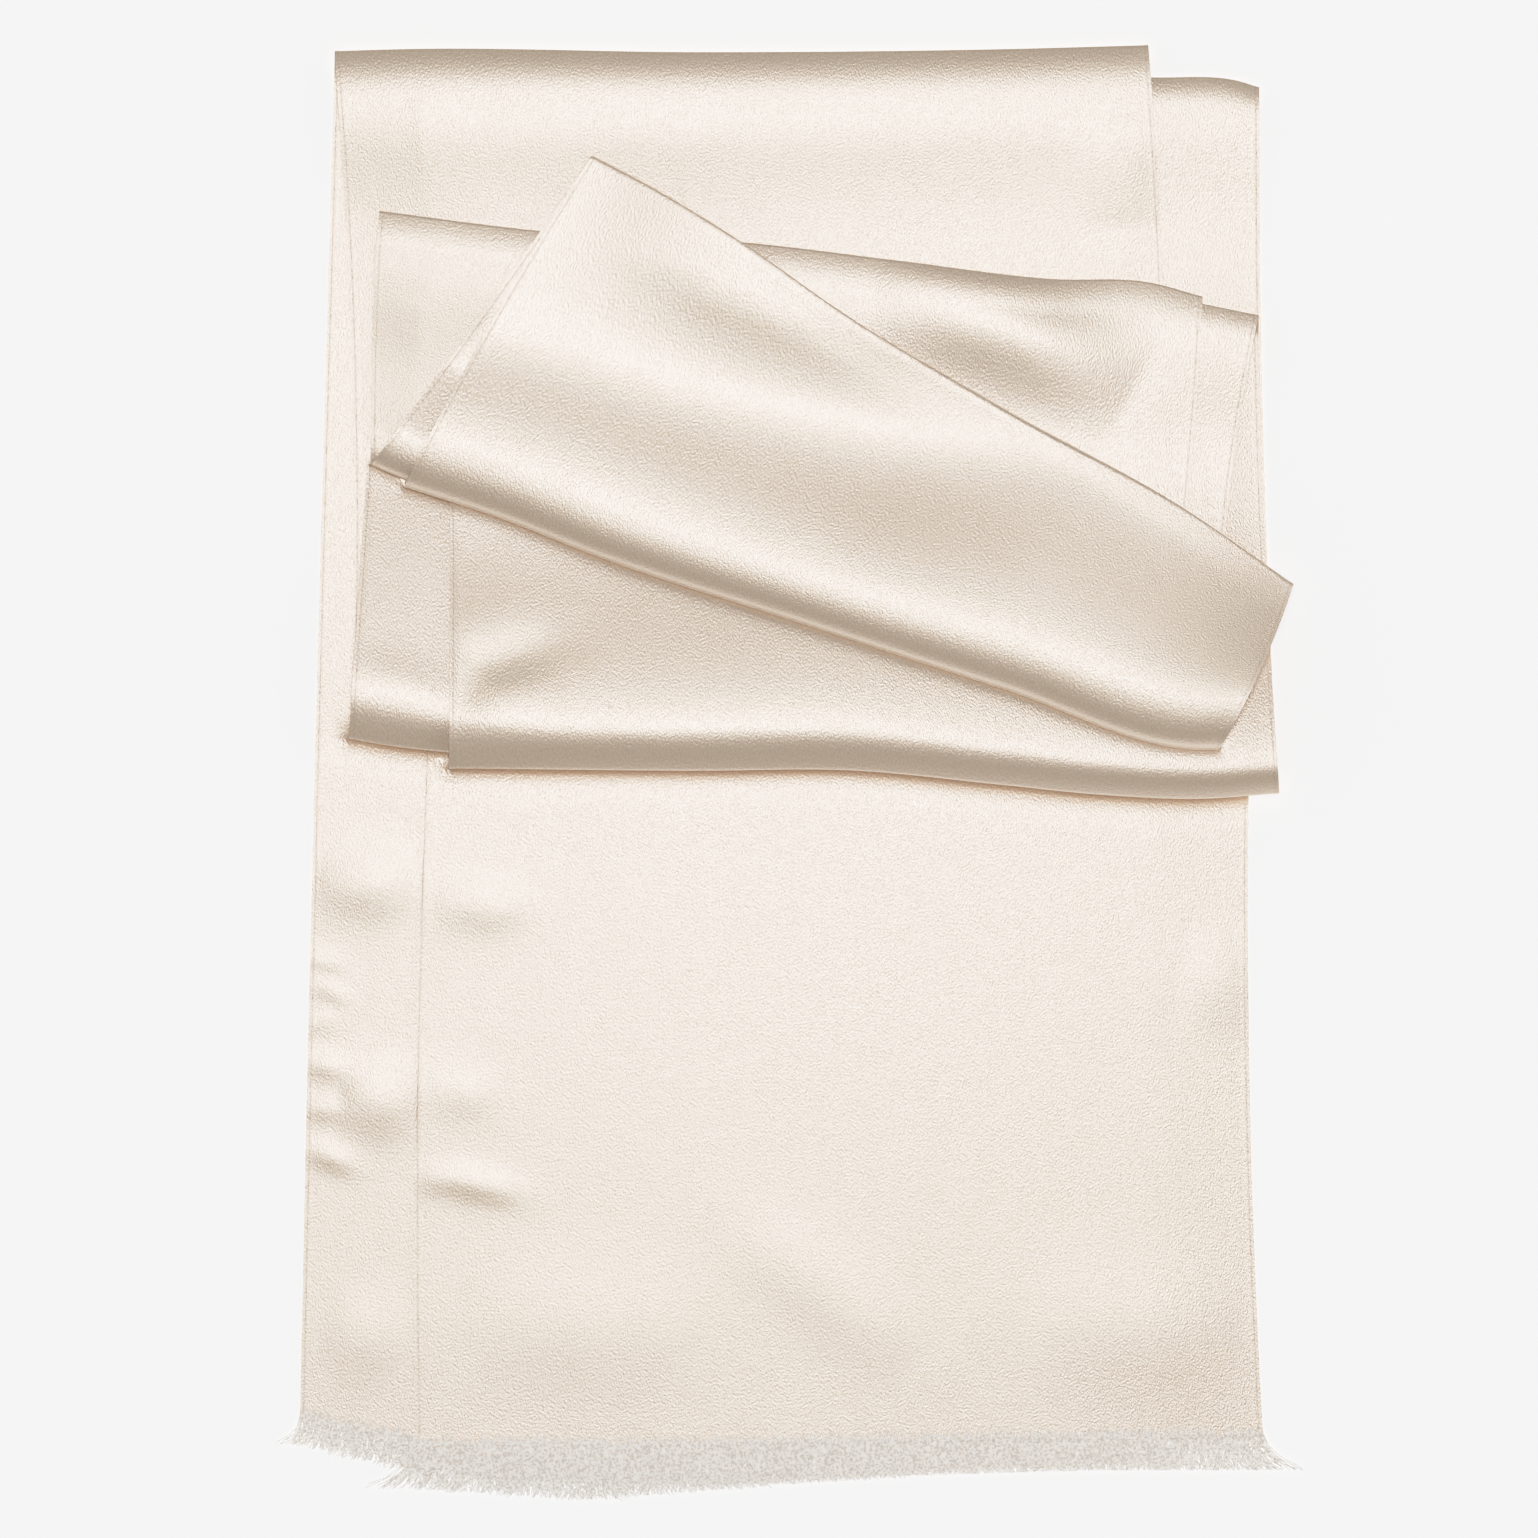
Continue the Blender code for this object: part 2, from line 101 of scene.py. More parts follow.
MIDDLE_FOLD = Fold(
    "middle",
    depth=1.2,
    line=(
        Point(-59.7, 184.8),
        Point(-42.3, 175.5),
        Point(-15.3, 159.0),
        Point(17.7, 136.0),
        Point(62.7, 109.5),
        Point(116.7, 79.5),
        Point(150.3, 56.4),
    ),
)

LEFT_FOLDS = (
    Fold(
        "fringed edge",
        line=(
            Point(-147.3, -192.6),
            Point(-114.3, -200.1),
            Point(-45.3, -203.1),
            Point(32.7, -200.1),
            Point(108.3, -197.1),
        ),
    ),
    Fold(
        "first far fold",
        depth=12.8,
        rise=Rise(3.9, 4.0, 3.6),
        line=(
            Point(-136.8, 216.3),
            Point(-117.3, 216.9),
            Point(-27.3, 216.0),
            Point(62.7, 216.9),
            Point(107.1, 218.1),
        ),
    ),
    Fold(
        "first near fold",
        depth=10.5,
        rise=Rise(8.6, 6.0, 6.0),
        line=(
            Point(-132.3, 10.5),
            Point(-126.3, 9.3),
            Point(-102.3, 6.3),
            Point(-27.3, 6.9),
            Point(47.7, 5.7),
            Point(113.1, 2.7),
        ),
    ),
    Fold(
        "second far fold",
        depth=9.8,
        rise=Rise(3.2, 3.4, 3.0),
        line=(
            Point(-123.3, 168.3),
            Point(-75.3, 162.3),
            Point(-15.3, 159.0),
            Point(32.7, 153.3),
            Point(77.7, 147.9),
            Point(107.7, 146.8),
            Point(123.3, 142.6),
        ),
    ),
    Fold(
        "second near fold",
        depth=10.0,
        rise=Rise(4.6, 3.4, 3.4),
        line=(
            Point(-125.7, 92.4),
            Point(-115.8, 88.2),
            Point(-100.0, 84.6),
            Point(-69.3, 76.0),
            Point(-9.3, 55.5),
            Point(50.7, 35.5),
            Point(110.7, 17.0),
        ),
    ),
    MIDDLE_FOLD,
)

RIGHT_FOLDS = (
    Fold(
        "fringed edge",
        line=(
            Point(-112.5, -201.6),
            Point(-27.3, -201.6),
            Point(62.7, -200.1),
            Point(141.6, -199.2),
        ),
    ),
    Fold(
        "first far fold",
        depth=8.0,
        rise=Rise(2.0, 2.2, 2.3),
        line=(
            Point(-108.9, 207.9),
            Point(-27.3, 207.6),
            Point(62.7, 208.2),
            Point(108.3, 208.5),
            Point(134.7, 207.3),
            Point(140.4, 205.5),
        ),
    ),
    Fold(
        "first near fold",
        depth=12.0,
        rise=Rise(10.6, 10.4, 9.6),
        line=(
            Point(-102.3, 1.5),
            Point(-27.3, 0.8),
            Point(17.7, 0.9),
            Point(62.7, -3.4),
            Point(92.7, -6.4),
            Point(122.7, -7.6),
            Point(146.1, -6.0),
        ),
    ),
    Fold(
        "second far fold",
        depth=7.0,
        rise=Rise(2.4, 2.4, 2.8),
        line=(
            Point(-105.3, 160.5),
            Point(-69.3, 156.9),
            Point(-15.3, 154.5),
            Point(32.7, 148.8),
            Point(77.7, 144.6),
            Point(107.7, 143.1),
            Point(140.1, 137.1),
        ),
    ),
    Fold(
        "second near fold",
        depth=14.4,
        rise=Rise(6.6, 6.8, 7.5),
        line=(
            Point(-115.8, 85.8),
            Point(-87.3, 76.4),
            Point(-57.3, 64.6),
            Point(2.7, 44.9),
            Point(62.7, 25.4),
            Point(122.7, 6.9),
            Point(127.8, 6.9),
        ),
    ),
    MIDDLE_FOLD,
)

LEFT_STRETCHES = (
    Stretch(-0.6, 0.0, 0.0, 0.0),
    Stretch(3.0, 0.0, 2.7, 0.0),
    Stretch(0.5, 0.0, 0.0, 0.0),
    Stretch(-1.0, 0.0, 1.8, 0.0),
    Stretch(1.0, 0.0, 0.0, 0.0),
)

RIGHT_STRETCHES = (
    Stretch(0.6, -1.8, -3.6, -0.9),
    Stretch(0.0, 0.0, -1.5, 0.0),
    Stretch(1.5, 0.0, -1.0, 0.0),
    Stretch(0.0, 0.0, -3.8, 0.0),
    Stretch(-1.8, 0.0, 1.5, 0.0),
)

# How long the fringe is along each fringed edge, from its left end to its right end.
LEFT_FRINGE = (8.5, 9.0, 11.0, 11.0, 10.0, 10.0)
RIGHT_FRINGE = (13.0, 16.5, 12.6, 10.2, 9.5, 10.0)

Half = namedtuple("Half", "name folds stretches fringe")
LEFT = Half("left_half", LEFT_FOLDS, LEFT_STRETCHES, LEFT_FRINGE)
RIGHT = Half("right_half", RIGHT_FOLDS, RIGHT_STRETCHES, RIGHT_FRINGE)

# A wave is a soft ridge of a stretch along a line of points, or a hollow where its height is
# negative. The width is that from its crest to where it has come down by two thirds. It tapers
# towards both ends of the line, as far as these fractions of the line's length.
Wave = namedtuple("Wave", "half stretch height width line")
WAVE_ENDS = (0.04, 0.96)
WAVE_TAPER = 0.8
WAVES = (
    Wave(
        "left_half",
        5,
        3.8,
        25.2,
        (
            Point(-66.3, 189.9),
            Point(-36.3, 167.4),
            Point(-15.3, 153.3),
            Point(2.7, 141.9),
            Point(23.7, 128.4),
            Point(47.7, 113.4),
            Point(71.7, 99.9),
        ),
    ),
    Wave(
        "left_half",
        5,
        4.3,
        25.5,
        (Point(80.7, 102.9), Point(125.7, 72.9), Point(152.7, 54.9), Point(182.7, 36.9)),
    ),
    Wave(
        "right_half",
        5,
        0.4,
        5.1,
        (
            Point(-69.3, 192.9),
            Point(-59.7, 183.9),
            Point(-15.3, 159.0),
            Point(32.7, 129.3),
            Point(92.7, 93.3),
            Point(152.7, 54.9),
        ),
    ),
    Wave(
        "right_half",
        3,
        -0.7,
        7.8,
        (Point(-108.3, 9.9), Point(-100.8, 20.7), Point(-93.3, 31.5), Point(-66.3, 39.9)),
    ),
    Wave("left_half", 3, 0.3, 7.2, (Point(-136.8, 30.9), Point(-117.3, 26.7), Point(-96.3, 18.3))),
    Wave(
        "left_half",
        4,
        2.1,
        15.6,
        (
            Point(20.7, 147.9),
            Point(44.7, 141.9),
            Point(62.7, 134.7),
            Point(80.7, 125.4),
            Point(104.7, 111.9),
        ),
    ),
    Wave("left_half", 2, 0.5, 13.5, (Point(100.2, 198.9), Point(100.2, 162.9))),
    Wave(
        "right_half",
        1,
        0.5,
        4.5,
        (Point(-113.7, -120.9), Point(-99.3, -122.1), Point(-78.3, -126.9)),
    ),
    Wave("right_half", 1, 0.5, 7.2, (Point(-108.3, -38.7), Point(-76.8, -40.5))),
    Wave(
        "right_half", 1, 0.4, 12.0, (Point(-21.3, -131.1), Point(2.7, -149.1), Point(38.7, -179.1))
    ),
    Wave(
        "right_half",
        1,
        0.45,
        18.0,
        (Point(68.7, -161.1), Point(104.7, -167.1), Point(137.7, -167.1)),
    ),
    Wave("right_half", 1, 0.4, 13.5, (Point(116.7, -60.6), Point(140.7, -63.6))),
    Wave(
        "right_half",
        1,
        0.4,
        18.0,
        (Point(-102.3, -164.1), Point(-57.3, -167.1), Point(-21.3, -164.1)),
    ),
    Wave("right_half", 1, 0.3, 6.6, (Point(-109.8, -95.1), Point(-87.3, -97.5))),
    Wave("left_half", 1, 0.8, 9.6, (Point(-144.3, -32.7), Point(-111.3, -33.9))),
    Wave("left_half", 1, 0.3, 2.4, (Point(-146.7, -55.5), Point(-134.1, -57.9))),
    Wave(
        "left_half", 1, 0.3, 2.1, (Point(-146.1, -62.7), Point(-138.3, -65.1), Point(-131.7, -69.0))
    ),
    Wave("left_half", 1, 0.25, 2.7, (Point(-146.4, -75.9), Point(-135.3, -73.5))),
    Wave("left_half", 1, 0.42, 3.3, (Point(-146.7, -86.7), Point(-131.7, -89.1))),
    Wave("left_half", 1, 0.3, 3.0, (Point(-146.7, -100.2), Point(-133.5, -101.4))),
    Wave(
        "left_half",
        1,
        0.42,
        3.6,
        (Point(-146.7, -111.9), Point(-138.3, -114.9), Point(-129.3, -119.1)),
    ),
    Wave("left_half", 1, 0.8, 10.8, (Point(-136.8, -96.9), Point(-111.3, -99.3))),
    Wave("left_half", 1, 0.35, 12.0, (Point(-141.3, -167.1), Point(-113.7, -170.1))),
)

# A roll's section is |level| ** power + |upright| ** power = 1: an ellipse where both are 2, and a
# flat lens with a crisp edge where the upright one is 1. A part of its height is under the edge.
Section = namedtuple("Section", "level upright under")
SECTIONS = {
    "first far fold": Section(2.0, 1.0, 0.6),
    "first near fold": Section(1.8, 1.0, 0.71),
    "second far fold": Section(2.0, 1.0, 0.75),
    "second near fold": Section(2.0, 2.0, 0.36),
    "middle": Section(2.0, 1.0, 0.85),
}

# Past a far roll the cloth comes down softly over a reach. Past a near roll it spans down to a foot
# at a distance from the roll, or to the end of the stretch where that comes first.
FAR_REACHES = {
    ("left_half", 2): 28.0,
    ("right_half", 2): 26.0,
    ("left_half", 4): 27.0,
    ("right_half", 4): 27.0,
}
# The spans of a stretch at even steps across the cloth. An ease of 1 comes down slowly at first and
# at last, and one of 0 comes down evenly. A span's top and foot are rounded over a few millimetres.
Span = namedtuple("Span", "reach ease")
SPANS = {
    ("left_half", 3): (Span(60.0, 0.0), Span(60.0, 0.0)),
    ("right_half", 3): (Span(60.0, 0.3), Span(60.0, 0.3)),
    ("left_half", 5): (Span(24.0, 0.0), Span(24.0, 0.0)),
    ("right_half", 5): (
        Span(40.0, 0.7),
        Span(48.0, 1.0),
        Span(50.0, 0.5),
        Span(60.0, 0.3),
        Span(80.0, 0.2),
    ),
}
SPAN_TOP = 0.1
SPAN_FOOT = 0.6
# How the depth of a near roll varies at even steps from the left end of the fold to the right one.
DEPTH_SHARES = {
    "first near fold": (1.3, 1.05, 1.0, 1.0, 0.97, 0.9, 0.82, 0.75, 0.7),
    "second near fold": (1.18, 1.02, 0.95, 1.08, 1.2),
}

# A cloth that comes out from under a near roll rises a little in front of it. This and the groove
# are bumps of the material, by distances that the mesh holds for it.
Crease = namedtuple("Crease", "height reach")
CREASES = {1: Crease(1.15, 3.3), 3: Crease(0.42, 1.5)}
# The side hems end in a fine groove, at this distance from the edge, where the colour is also
# darkened as painted shade.
HEM_GROOVE = Crease(0.05, 0.4)
GROOVE_INSET = 1.1
# How many points of a near roll's edge the distances are taken from, how far under the roll they
# are negative, and what they are where there is no roll.
EDGE_POINTS = 40
UNDER_ROLL = 3.0
FAR_AWAY = 60.0

# The fringe is fine threads. They start on the cloth, at up to the inset from its edge, step down
# at the edge, and lie at up to the lift over what is under them.
Threads = namedtuple("Threads", "count segments root_radius tip_radius inset lift curl")
THREADS = Threads(2600, 8, 0.17, 0.12, 3.4, 0.5, 0.62)
THREAD_CORNERS = 3
# This keeps the way to the side of an upright thread from having no length.
NUDGE = (1e-6, 0.0, 0.0)
FRINGE_SEED = 3
FRINGE_FLOORS = {"left_half": 0.0, "right_half": 0.5}
OVER_CLOTH = 0.1
OVER_FLOOR = 0.2
LEAST_OVER_FLOOR = 0.05
STEP_DOWN = 2.0
INSET_POWER = 1.7
TIP_LIFT = 0.35
TIP_LIFT_POWER = 3
TIP_LIFT_MOST = 2

# Threads differ in length one by one, and in clumps that follow two sines across the cloth.
LENGTH_SPREAD = 0.07
LEAST_SPREAD = -2.5
MOST_SPREAD = 0.6
CLUMPED_LENGTH = 0.93
CLUMP_EXTRA = 0.03
CLUMP_TURNS = 190
CLUMP_DRIFT = 3
CLUMP_DRIFT_TURNS = 37

# A thread leans sideways by a share of its length: outwards at the ends of the fringe, and all
# along it by chance and by two sines across the cloth.
Lean = namedtuple("Lean", "left right")
LEANS = {"left_half": Lean(0.43, 0.2), "right_half": Lean(0.74, 0.55)}
LEAN_POWER = 12
LEAN_SPREAD = 0.24
LEAN_WAVE = 0.12
LEAN_TURNS = (61, 23)
LEAN_PHASE = 1

# The last cross threads weave over and under the others, and wander a little.
CROSS_THREADS = 7
CROSS_SPACING = 0.75
CROSS_STEP = 0.9
CROSS_RADIUS = 0.14
CROSS_LIFT = 0.35
CROSS_OVER = 0.18
CROSS_UNDER = -0.12
CROSS_WANDER = 0.16
CROSS_SPREAD = 0.06


def curve_through(points, fractions):
    """Positions at these fractions of the length of a smooth curve through the points."""
    points = np.array(points, float)
    steps = np.linalg.norm(np.diff(points, axis=0), axis=1)
    knots = np.concatenate([[0.0], np.cumsum(steps)])
    slopes = np.gradient(points, knots, axis=0)
    at = np.clip(np.asarray(fractions, float), 0.0, 1.0) * knots[-1]
    piece = np.clip(np.searchsorted(knots, at, side="right") - 1, 0, len(steps) - 1)
    span = steps[piece][:, None]
    u = ((at - knots[piece]) / steps[piece])[:, None]
    start, end = points[piece], points[piece + 1]
    start_slope, end_slope = slopes[piece] * span, slopes[piece + 1] * span
    return (
        start * (1 + 2 * u) * (1 - u) ** 2
        + start_slope * u * (1 - u) ** 2
        + end * u**2 * (3 - 2 * u)
        + end_slope * u**2 * (u - 1)
    )


def rise_along(fold, across):
    """The fold's rise at these fractions of its width, by a parabola through its three values."""
    left, middle, right = fold.rise
    across = np.asarray(across)
    tilt = right - left
    crown = 4 * middle - 2 * (left + right)
    return left + tilt * across + crown * across * (1 - across)


def plan(half, number, across, along):
    """Plan positions on a stretch, with along 0 on its first fold line and 1 on its next."""
    first = curve_through(half.folds[number - 1].line, across)
    last = curve_through(half.folds[number].line, across)
    edges = half.stretches[number - 1]
    arch = 4 * along * (1 - along)
    bend = np.sin(2 * np.pi * along)
    left_shift = edges.left_bow * arch + edges.left_sway * bend
    right_shift = edges.right_bow * arch + edges.right_sway * bend
    flat = first * (1 - along)[..., None] + last * along[..., None]
    flat[..., 0] += (1 - across) * left_shift + across * right_shift
    return flat


def lengths(half, number, across):
    """The lengths of a stretch at these fractions across the cloth."""
    first = curve_through(half.folds[number - 1].line, across)
    last = curve_through(half.folds[number].line, across)
    return np.linalg.norm(last - first, axis=1)


def column_fractions():
    """Fractions across the cloth, close together in the side hems and closer near them."""
    hem = np.array(HEM_COLUMNS) / CLOTH_WIDTH
    even = np.linspace(0.0, 1.0, INNER_COLUMNS)
    crowded = even - EDGE_CROWDING * np.sin(2 * np.pi * even) / (2 * np.pi)
    inner = hem[-1] + (1 - 2 * hem[-1]) * crowded
    return np.concatenate([hem[:-1], inner, 1 - hem[-2::-1]])


COLUMNS = column_fractions()
INSETS = np.minimum(COLUMNS, 1 - COLUMNS) * CLOTH_WIDTH
WALLS = WALL + (HEM_WALL - WALL) * np.clip((HEM_COLUMNS[-1] - INSETS) / HEM_TAPER, 0.0, 1.0)


def eased(count):
    """Fractions from 0 to 1 that lie closer together at the start, where a fold comes down."""
    even = np.linspace(0.0, 1.0, count)
    return EVEN_SPACING * even + (1 - EVEN_SPACING) * even**2


def quad_corners(grid):
    """The four corners of every square of a grid, one after another."""
    return np.stack([grid[:-1, :-1], grid[1:, :-1], grid[1:, 1:], grid[:-1, 1:]], axis=2)


def cells(x, y):
    """The rows and columns of the grid of heights that places lie in."""
    column = np.clip(((x - GRID_LEFT) / CELL).astype(int), 1, GRID_WIDTH - 2)
    row = np.clip(((y - GRID_NEAR) / CELL).astype(int), 1, GRID_LENGTH - 2)
    return row, column


def raise_ground(ground, surface):
    """Raises the grid of heights to a surface given as a grid of positions."""
    down = np.linalg.norm(np.diff(surface[..., :2], axis=0), axis=-1).max()
    over = np.linalg.norm(np.diff(surface[..., :2], axis=1), axis=-1).max()
    steps = int(np.ceil(SAMPLES_PER_CELL * max(down, over) / CELL))
    even = (np.arange(steps) + 0.5) / steps
    u, v = [axis.ravel() for axis in np.meshgrid(even, even, indexing="ij")]
    weights = np.stack([(1 - u) * (1 - v), u * (1 - v), u * v, (1 - u) * v], axis=1)
    samples = np.einsum("rcki,sk->rcsi", quad_corners(surface), weights)
    row, column = cells(samples[..., 0], samples[..., 1])
    np.maximum.at(ground, (row, column), samples[..., 2])


def widened(ground):
    """The highest of each cell and its eight neighbours."""
    wide = ground.copy()
    wide[1:] = np.maximum(wide[1:], ground[:-1])
    wide[:-1] = np.maximum(wide[:-1], ground[1:])
    tall = wide.copy()
    tall[:, 1:] = np.maximum(tall[:, 1:], wide[:, :-1])
    tall[:, :-1] = np.maximum(tall[:, :-1], wide[:, 1:])
    return tall


def ground_at(ground, x, y):
    """The height of the grid between the middles of its cells."""
    column = np.clip((x - GRID_LEFT) / CELL - 0.5, 0, GRID_WIDTH - GRID_MARGIN)
    row = np.clip((y - GRID_NEAR) / CELL - 0.5, 0, GRID_LENGTH - GRID_MARGIN)
    left, near = column.astype(int), row.astype(int)
    u, v = column - left, row - near
    close = ground[near, left] * (1 - u) + ground[near, left + 1] * u
    beyond = ground[near + 1, left] * (1 - u) + ground[near + 1, left + 1] * u
    return close * (1 - v) + beyond * v


def smoothed(height):
    """Heights of a stretch that are each evened out with those beside, before and after it."""
    padded = np.pad(height, 1, mode="edge")
    beside = padded[1:-1, :-2] + padded[1:-1, 2:]
    before = padded[:-2, 1:-1] + padded[2:, 1:-1]
    own = 1 - 2 * ACROSS_SHARE - 2 * ALONG_SHARE
    return own * height + ACROSS_SHARE * beside + ALONG_SHARE * before


def evened(heights):
    """Heights across the cloth without their short steps."""
    apart = (COLUMNS[:, None] - COLUMNS) * CLOTH_WIDTH / CREST_SPREAD
    weights = np.exp(-(apart**2) / 2) * np.gradient(COLUMNS)
    return weights @ heights / weights.sum(axis=1)


def settle(ground, flat):
    """Heights of a stretch that lies on the ground, with the slack of soft cloth over steps."""
    over = widened(widened(ground))
    contact = ground_at(over, flat[..., 0], flat[..., 1]) + GAP + WALL / 2
    height = contact
    for _ in range(SETTLING_ROUNDS):
        height = np.maximum(smoothed(height), contact)
    return height


def nearest_on(line, flat):
    """How far places are from a line of points, and how far along it they are as a fraction."""
    line = np.asarray(line)
    steps = np.linalg.norm(np.diff(line, axis=0), axis=1)
    before = np.concatenate([[0.0], np.cumsum(steps)])
    nearest = np.full(flat.shape[:2], np.inf)
    place = np.zeros(flat.shape[:2])
    for start, end, step, passed in zip(line, line[1:], steps, before):
        way = (end - start) / step
        along = np.clip((flat - start) @ way, 0.0, step)
        distance = np.linalg.norm(flat - start - along[..., None] * way, axis=-1)
        closer = distance < nearest
        place[closer] = (passed + along)[closer]
        nearest[closer] = distance[closer]
    return nearest, place / before[-1]


def waves_on(half, number, flat):
    """How far the waves of a stretch raise it."""
    raised = np.zeros(flat.shape[:2])
    for wave in WAVES:
        if wave.half == half.name and wave.stretch == number:
            distance, place = nearest_on(wave.line, flat)
            taper = np.sin(np.pi * np.clip(place, *WAVE_ENDS)) ** WAVE_TAPER
            raised += wave.height * taper * np.exp(-((distance / wave.width) ** 2))
    return raised


def off_roll(number, flat):
    """How far a stretch's places are out of the near rolls on it, in reaches of its crease."""
    away = np.full(flat.shape[:2], FAR_AWAY)
    if number in CREASES:
        for half in (LEFT, RIGHT):
            even = np.linspace(0.0, 1.0, EDGE_POINTS)
            edge = curve_through(half.folds[number + 1].line, even)
            edge = edge[np.argsort(edge[:, 0])]
            distance, place = nearest_on(edge, flat)
            level = np.interp(flat[..., 0], edge[:, 0], edge[:, 1])
            under = (flat[..., 1] > level) & (place > 0) & (place < 1) & (distance < UNDER_ROLL)
            away = np.minimum(away, np.where(under, -distance, distance))
        away = away / CREASES[number].reach
    return away


def depth_of(fold):
    """The depth of a fold's roll at every column."""
    shares = DEPTH_SHARES.get(fold.name, (1.0, 1.0))
    return fold.depth * np.interp(COLUMNS, np.linspace(0.0, 1.0, len(shares)), shares)


def unit(vectors):
    return vectors / np.linalg.norm(vectors, axis=-1, keepdims=True)


def way_out(half, number, depth, at_start):
    """Level unit vectors that point along a stretch and out over one of its fold lines."""
    length = lengths(half, number, COLUMNS)
    line = 0.0 if at_start else 1.0
    inner = depth / length if at_start else 1 - depth / length
    on_line = plan(half, number, COLUMNS, np.full_like(COLUMNS, line))
    return unit(on_line - plan(half, number, COLUMNS, inner))


def roll_rows(start, end, fold, low, high, steps):
    """The rows of a roll, from the cloth under it, round the fold line, to the cloth over it."""
    depth = depth_of(fold)
    ways = [way_out(*place[:2], depth, place[2]) for place in (start, end)]
    section = SECTIONS[fold.name]
    rows, outward = [], []
    for angle in np.linspace(-np.pi / 2, np.pi / 2, steps + 1):
        reach = np.cos(angle) ** (2 / section.level)
        climb = np.sign(angle) * np.abs(np.sin(angle)) ** (2 / section.upright)
        inset = depth * (1 - reach)
        half, number, at_start = start if angle < 0 else end
        along = inset / lengths(half, number, COLUMNS)
        flat = plan(half, number, COLUMNS, along if at_start else 1 - along)
        part = section.under if angle < 0 else 1 - section.under
        share = section.under + climb * part
        out = unit(ways[0] * (1 - share) + ways[1] * share)
        sideways = out * reach ** (section.level - 1) * section.level / depth[:, None]
        steep = np.sign(angle) * np.abs(climb) ** (section.upright - 1) * section.upright
        upward = steep / ((high - low) * part)
        rows.append(np.column_stack([flat, low + (high - low) * share]))
        outward.append(unit(np.column_stack([sideways, upward])))
    return np.array(rows), np.array(outward)


def lofted(half, number, height, crest, beyond):
    """Heights of a stretch that comes down from its roll's crest to the heights it settles at."""
    if (half.name, number) in FAR_REACHES:
        bulge = np.exp(-((beyond / FAR_REACHES[half.name, number]) ** 2))
        return height + np.maximum(crest - height[0], 0.0) * bulge
    spans = SPANS[half.name, number]
    known = np.linspace(0.0, 1.0, len(spans))
    foot = np.interp(COLUMNS, known, [span.reach for span in spans])
    ease = np.interp(COLUMNS, known, [span.ease for span in spans])
    foot = np.minimum(foot, beyond[-1])
    row = np.clip([np.searchsorted(*pair) for pair in zip(beyond.T, foot)], 0, len(beyond) - 1)
    at_foot = evened(np.take_along_axis(height, row[None, :], axis=0)[0])
    even = np.sqrt((beyond / foot) ** 2 + SPAN_TOP**2) - SPAN_TOP
    passed = np.clip(beyond / foot, 0.0, 1.0)
    drop = (1 - ease) * even + ease * passed**2 * (3 - 2 * passed)
    span = np.maximum(crest, height[0]) * (1 - drop) + at_foot * drop
    return (height + span + np.sqrt((height - span) ** 2 + SPAN_FOOT**2)) / 2


def build_stretch(half, number, ground, ends):
    """The middle of a stretch's cloth and its outward unit vectors, laid on the ground."""
    start = half.folds[number - 1]
    end = half.folds[number]
    is_last = half is RIGHT and number == STRETCHES
    length = lengths(half, number, COLUMNS)
    first = depth_of(start) / length
    last = 1 - depth_of(end) / length
    count = round(length.max() / ROW_SPACING)
    along = first + eased(count)[:, None] * (last - first)
    flat = plan(half, number, COLUMNS, along)
    height = settle(ground, flat)
    if number > 1:
        low = ends[half.name, number - 1]
        beyond = along * length - depth_of(start)
        crest = evened(low + rise_along(start, COLUMNS))
        height = lofted(half, number, height, crest, beyond)
    height = height + waves_on(half, number, flat)
    middle = np.dstack([flat, height])
    outward = np.zeros_like(middle)
    outward[..., 2] = 1.0
    if number > 1:
        below = (half, number - 1, False)
        here = (half, number, True)
        rows, normals = roll_rows(below, here, start, low, height[0], ROLL_STEPS)
        middle = np.concatenate([rows[:-1], middle])
        outward = np.concatenate([normals[:-1], outward])
    if is_last:
        below = (LEFT, STRETCHES, False)
        here = (RIGHT, STRETCHES, False)
        low = ends[LEFT.name, STRETCHES]
        rows, normals = roll_rows(below, here, end, low, height[-1], CRISP_ROLL_STEPS)
        middle = np.concatenate([middle, rows[-2::-1]])
        outward = np.concatenate([outward, normals[-2::-1]])
    return middle, outward


def lay_scarf():
    """The stretches of both halves as grids of positions, laid in the order of the pile."""
    ground = np.full((GRID_LENGTH, GRID_WIDTH), -GAP)
    ends, laid = {}, {LEFT.name: [], RIGHT.name: []}
    for number in range(1, STRETCHES + 1):
        upward = number % 2 == 1
        for half in (LEFT, RIGHT) if upward else (RIGHT, LEFT):
            middle, outward = build_stretch(half, number, ground, ends)
            first_seen = 0 if number == 1 else ROLL_STEPS // 2
            top = middle + outward * WALL / 2
            raise_ground(ground, top[first_seen:])
            ends[half.name, number] = middle[-1, :, 2]
            turned = outward if upward else -outward
            away = off_roll(number, middle[..., :2])
            rows = slice(0 if number == 1 else 1, None)
            height = CREASES[number].height if number in CREASES else 0.0
            groove = np.abs(INSETS - GROOVE_INSET) / HEM_GROOVE.reach + np.zeros_like(away)
            creased = np.dstack([away, np.full_like(away, height), groove])
            laid[half.name].append((middle[rows], turned[rows], creased[rows]))
    return laid


